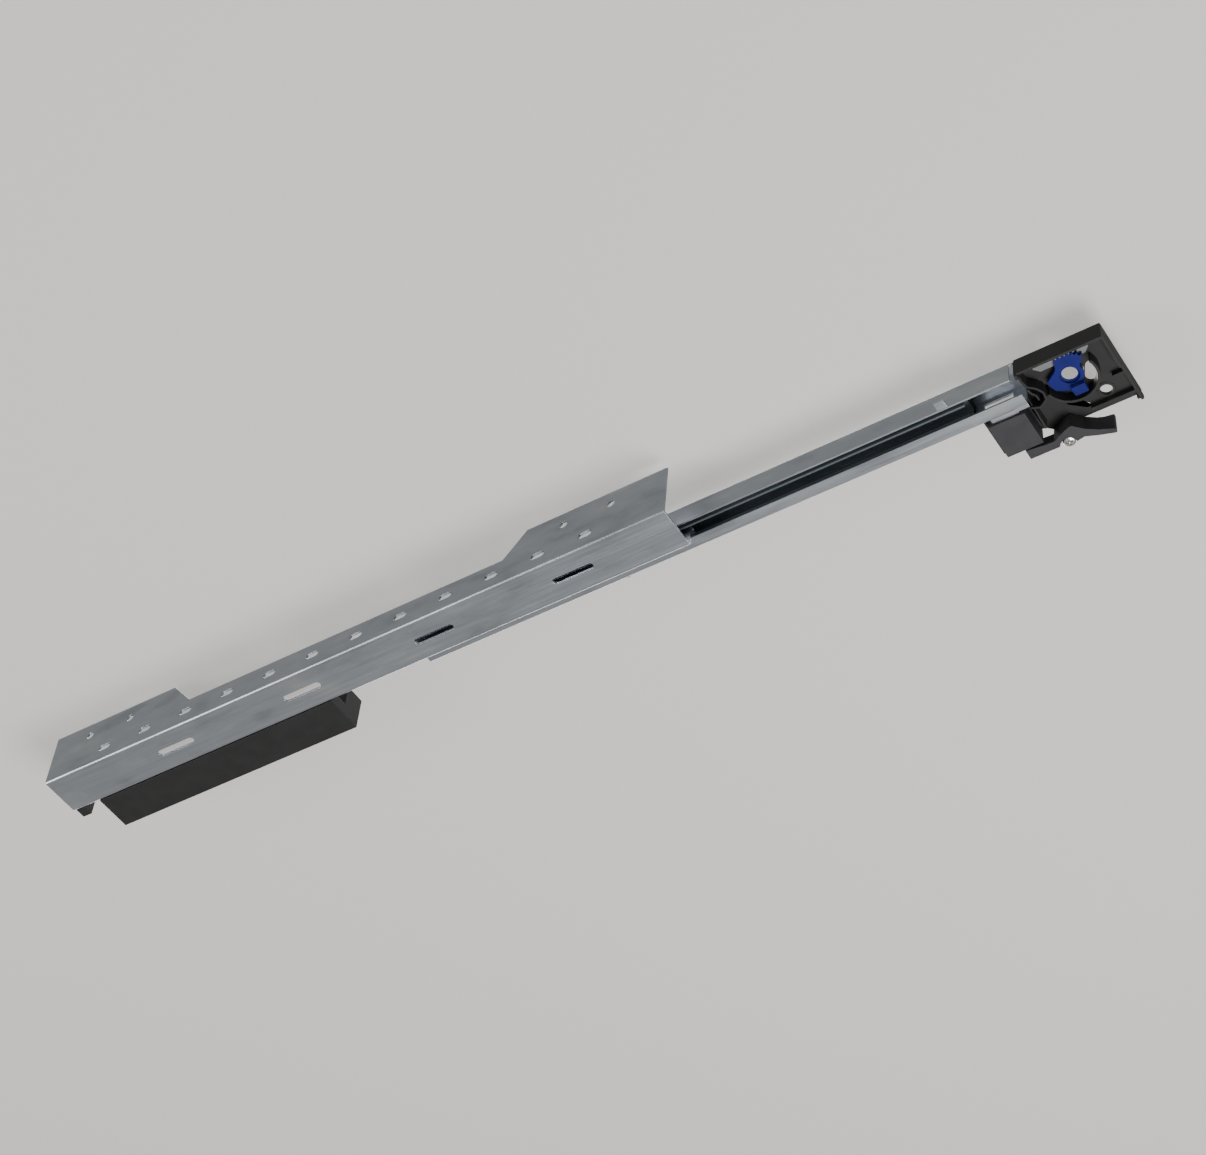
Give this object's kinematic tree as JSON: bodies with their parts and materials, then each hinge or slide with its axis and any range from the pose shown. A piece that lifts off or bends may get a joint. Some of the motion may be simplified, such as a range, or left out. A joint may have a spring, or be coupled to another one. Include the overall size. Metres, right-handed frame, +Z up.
{
  "type": "cabinet drawer slide",
  "caption": "Undermount full-extension cabinet drawer slide with roller carriages, front locking device with height dial and release lever, and soft-close unit.",
  "frame": {"origin": "on the cabinet wall face of the cabinet member's flange, between its two rows of holes, in the middle of the front ear", "axes": "+X the way the drawer is pulled, +Y from the cabinet wall towards the middle of the drawer, +Z up towards the drawer bottom"},
  "size_m": [0.704, 0.0821, 0.045],
  "materials": {
    "blue_plastic": "royal blue moulded plastic, satin",
    "bright_steel": "bright plated",
    "charcoal_plastic": "charcoal moulded nylon, satin",
    "dark_steel": "dark blue-black satin",
    "grey_black_plastic": "dark grey moulded nylon, satin",
    "light_grey_plastic": "light grey moulded plastic",
    "spring_steel": "drawn spring wire",
    "white_plastic": "natural white acetal",
    "zinc_steel": "bright zinc plating, slightly blue"
  },
  "bodies": {
    "cabinet": {"cabinet_member": "zinc_steel", "rear_buffer": "charcoal_plastic", "damper_housing": "charcoal_plastic", "damper_rivet_rear": "bright_steel", "damper_rivet_front": "bright_steel", "damper_cylinder": "bright_steel", "closing_spring": "spring_steel"},
    "intermediate": {"intermediate_member": "dark_steel", "intermediate_stop": "charcoal_plastic"},
    "drawer": {"drawer_member": "zinc_steel", "hook_pin": "zinc_steel", "lock_housing": "charcoal_plastic", "pivot_screw": "bright_steel", "latch_spring": "spring_steel", "catch_peg": "zinc_steel"},
    "lower_carriage": {"lower_cage": "white_plastic"},
    "upper_carriage": {"upper_cage": "white_plastic"},
    "lower_roller_1": {"lower_roller_1": "white_plastic"},
    "lower_roller_2": {"lower_roller_2": "white_plastic"},
    "lower_roller_3": {"lower_roller_3": "white_plastic"},
    "lower_roller_4": {"lower_roller_4": "white_plastic"},
    "upper_roller_1": {"upper_roller_1": "white_plastic"},
    "upper_roller_2": {"upper_roller_2": "white_plastic"},
    "upper_roller_3": {"upper_roller_3": "white_plastic"},
    "upper_roller_4": {"upper_roller_4": "white_plastic"},
    "catch": {"soft_close_catch": "white_plastic", "piston_rod": "bright_steel"},
    "dial": {"height_dial": "blue_plastic"},
    "rack": {"height_rack": "light_grey_plastic"},
    "lever": {"release_lever": "grey_black_plastic"},
    "latch": {"latch_block": "grey_black_plastic", "latch_bolt": "zinc_steel"}
  },
  "joints": [
    {"name": "intermediate_slide", "type": "slide", "parent": "cabinet", "child": "intermediate", "axis": [1, 0, 0], "range_m": [-0.24, 0]},
    {"name": "drawer_slide", "type": "slide", "parent": "intermediate", "child": "drawer", "axis": [1, 0, 0], "range_m": [-0.014, 0.196]},
    {"name": "lower_carriage_slide", "type": "slide", "parent": "cabinet", "child": "lower_carriage", "axis": [1, 0, 0], "range_m": [-0.12, 0]},
    {"name": "upper_carriage_slide", "type": "slide", "parent": "intermediate", "child": "upper_carriage", "axis": [1, 0, 0], "range_m": [-0.007, 0.098]},
    {"name": "lower_roller_1_spin", "type": "hinge", "parent": "lower_carriage", "child": "lower_roller_1", "pos_m": [-0.122, 0.03035, -0.00055], "axis": [0, 1, 0], "range_deg": [-3000, 10]},
    {"name": "lower_roller_2_spin", "type": "hinge", "parent": "lower_carriage", "child": "lower_roller_2", "pos_m": [-0.08, 0.03035, -0.00055], "axis": [0, 1, 0], "range_deg": [-3000, 10]},
    {"name": "lower_roller_3_spin", "type": "hinge", "parent": "lower_carriage", "child": "lower_roller_3", "pos_m": [-0.038, 0.03035, -0.00055], "axis": [0, 1, 0], "range_deg": [-3000, 10]},
    {"name": "lower_roller_4_spin", "type": "hinge", "parent": "lower_carriage", "child": "lower_roller_4", "pos_m": [0.004, 0.03035, -0.00055], "axis": [0, 1, 0], "range_deg": [-3000, 10]},
    {"name": "upper_roller_1_spin", "type": "hinge", "parent": "upper_carriage", "child": "upper_roller_1", "pos_m": [-0.015, 0.03035, 0.00525], "axis": [0, 1, 0], "range_deg": [-190, 2460]},
    {"name": "upper_roller_2_spin", "type": "hinge", "parent": "upper_carriage", "child": "upper_roller_2", "pos_m": [0.02033, 0.03035, 0.00525], "axis": [0, 1, 0], "range_deg": [-190, 2460]},
    {"name": "upper_roller_3_spin", "type": "hinge", "parent": "upper_carriage", "child": "upper_roller_3", "pos_m": [0.05567, 0.03035, 0.00525], "axis": [0, 1, 0], "range_deg": [-190, 2460]},
    {"name": "upper_roller_4_spin", "type": "hinge", "parent": "upper_carriage", "child": "upper_roller_4", "pos_m": [0.091, 0.03035, 0.00525], "axis": [0, 1, 0], "range_deg": [-190, 2460]},
    {"name": "catch_slide", "type": "slide", "parent": "cabinet", "child": "catch", "axis": [1, 0, 0], "range_m": [-0.045, 0], "deforming": ["closing_spring"]},
    {"name": "dial_turn", "type": "hinge", "parent": "drawer", "child": "dial", "pos_m": [0.273, 0.0406, 0.00255], "axis": [0, 0, 1], "range_deg": [-20, 10]},
    {"name": "rack_slide", "type": "slide", "parent": "drawer", "child": "rack", "axis": [1, 0, 0], "range_m": [-0.0051, 0.00255]},
    {"name": "lever_pivot", "type": "hinge", "parent": "drawer", "child": "lever", "pos_m": [0.2546, 0.0767, -0.00475], "axis": [0, 0, 1], "range_deg": [-12, 0]},
    {"name": "latch_slide", "type": "slide", "parent": "drawer", "child": "latch", "axis": [0, 1, 0], "range_m": [0, 0.0041], "stiffness_N_per_m": 150, "springref_m": -0.004, "deforming": ["latch_spring"]}
  ],
  "couplings": [
    {"joint": "lower_carriage_slide", "follows": "intermediate_slide", "ratio": 0.5},
    {"joint": "upper_carriage_slide", "follows": "drawer_slide", "ratio": 0.5},
    {"joint": "lower_roller_1_spin", "follows": "intermediate_slide", "rad_per_m": 217.39},
    {"joint": "lower_roller_2_spin", "follows": "intermediate_slide", "rad_per_m": 217.39},
    {"joint": "lower_roller_3_spin", "follows": "intermediate_slide", "rad_per_m": 217.39},
    {"joint": "lower_roller_4_spin", "follows": "intermediate_slide", "rad_per_m": 217.39},
    {"joint": "upper_roller_1_spin", "follows": "drawer_slide", "rad_per_m": 217.39},
    {"joint": "upper_roller_2_spin", "follows": "drawer_slide", "rad_per_m": 217.39},
    {"joint": "upper_roller_3_spin", "follows": "drawer_slide", "rad_per_m": 217.39},
    {"joint": "upper_roller_4_spin", "follows": "drawer_slide", "rad_per_m": 217.39},
    {"joint": "dial_turn", "follows": "rack_slide", "rad_per_m": 68.259},
    {"joint": "lever_pivot", "follows": "latch_slide", "rad_per_m": -51.02}
  ]
}
